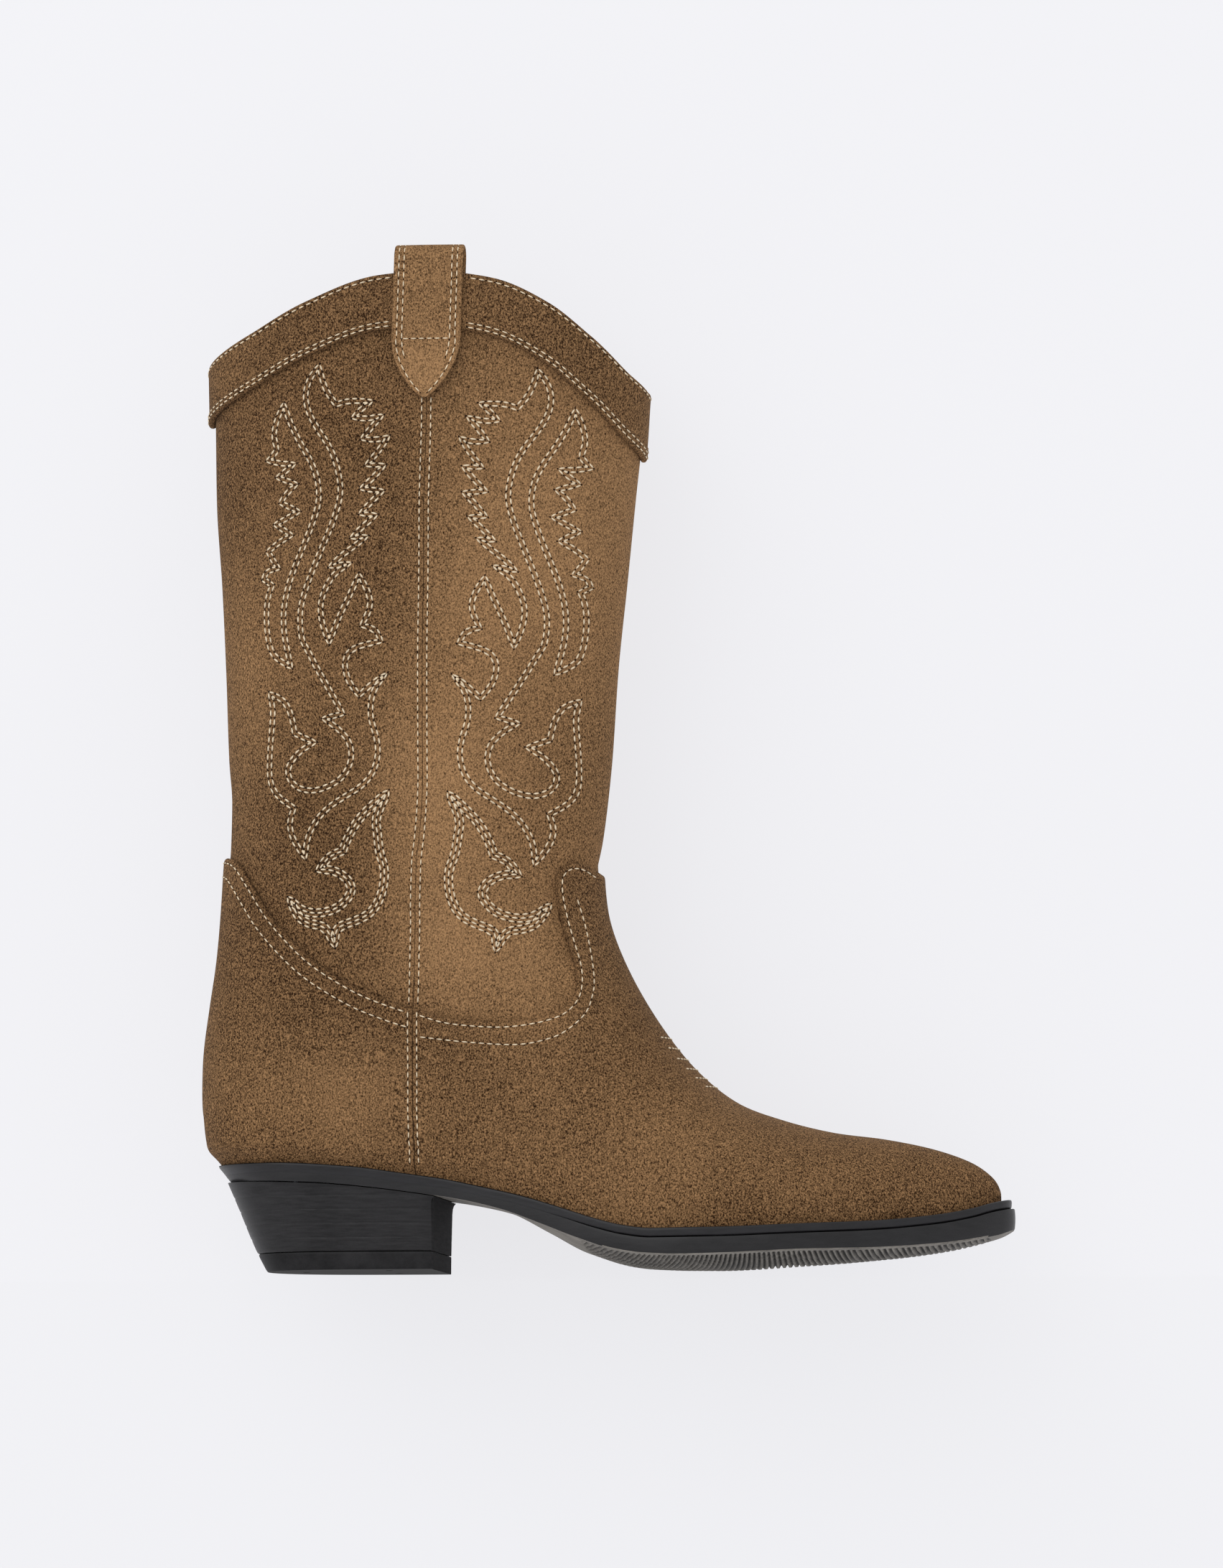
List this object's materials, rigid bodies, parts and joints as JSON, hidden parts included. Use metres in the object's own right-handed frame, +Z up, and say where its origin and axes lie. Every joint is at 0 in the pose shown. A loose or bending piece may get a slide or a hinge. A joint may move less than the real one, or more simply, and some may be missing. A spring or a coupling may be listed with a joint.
{
  "type": "cowboy boot",
  "caption": "Pull-on western boot for the right foot: suede shaft with scalloped collar and pull straps, pointed toe, welted sole and a tapered stacked heel.",
  "frame": {"origin": "centre of the heel's base, on the floor", "axes": "+X towards the toe, +Y towards the medial (inner) side of this right boot, +Z up"},
  "size_m": [0.2857, 0.0899, 0.3563],
  "materials": {
    "suede_shaft": "tan suede, napped, brushed lighter and darker",
    "suede_trim": "tan-brown suede, slightly darker, cream top-stitching",
    "suede_strap": "tan suede, lighter, with cut edges",
    "lining_leather": "smooth natural lining leather",
    "seam_tape": "woven cotton reinforcing tape",
    "stiffener_board": "resin-stiffened non-woven sheet",
    "sock_leather": "natural leather sock over thin foam",
    "insole_fibreboard": "cellulose fibre board",
    "shank_steel": "zinc-plated steel",
    "cork_filler": "granulated cork sheet",
    "welt_rubber": "satin black moulded rubber",
    "outsole_rubber": "satin black moulded rubber, ribbed tread",
    "heel_stack": "satin black, fine stacked-layer lines",
    "top_lift_rubber": "black rubber, slightly dull",
    "nail_brass": "brass-plated nails"
  },
  "bodies": {
    "root": {"shaft_front_panel": "suede_shaft", "shaft_back_panel": "suede_shaft", "collar_band_front": "suede_trim", "collar_band_back": "suede_trim", "vamp": "suede_trim", "heel_counter_cover": "suede_trim", "pull_strap_lateral": "suede_strap", "pull_strap_medial": "suede_strap", "shaft_front_lining": "lining_leather", "shaft_back_lining": "lining_leather", "vamp_lining": "lining_leather", "counter_lining": "lining_leather", "side_seam_tape_lateral": "seam_tape", "side_seam_tape_medial": "seam_tape", "toe_puff": "stiffener_board", "heel_stiffener": "stiffener_board", "footbed": "sock_leather", "insole_board": "insole_fibreboard", "steel_shank": "shank_steel", "shank_rivet_1": "shank_steel", "shank_rivet_2": "shank_steel", "bottom_filler": "cork_filler", "welt": "welt_rubber", "outsole": "outsole_rubber", "heel_block": "heel_stack", "heel_top_lift": "top_lift_rubber", "heel_screw": "shank_steel", "heel_nail_1": "shank_steel", "heel_nail_2": "shank_steel", "heel_nail_3": "shank_steel", "heel_nail_4": "shank_steel", "top_lift_nail_1": "nail_brass", "top_lift_nail_2": "nail_brass", "top_lift_nail_3": "nail_brass"}
  },
  "joints": []
}
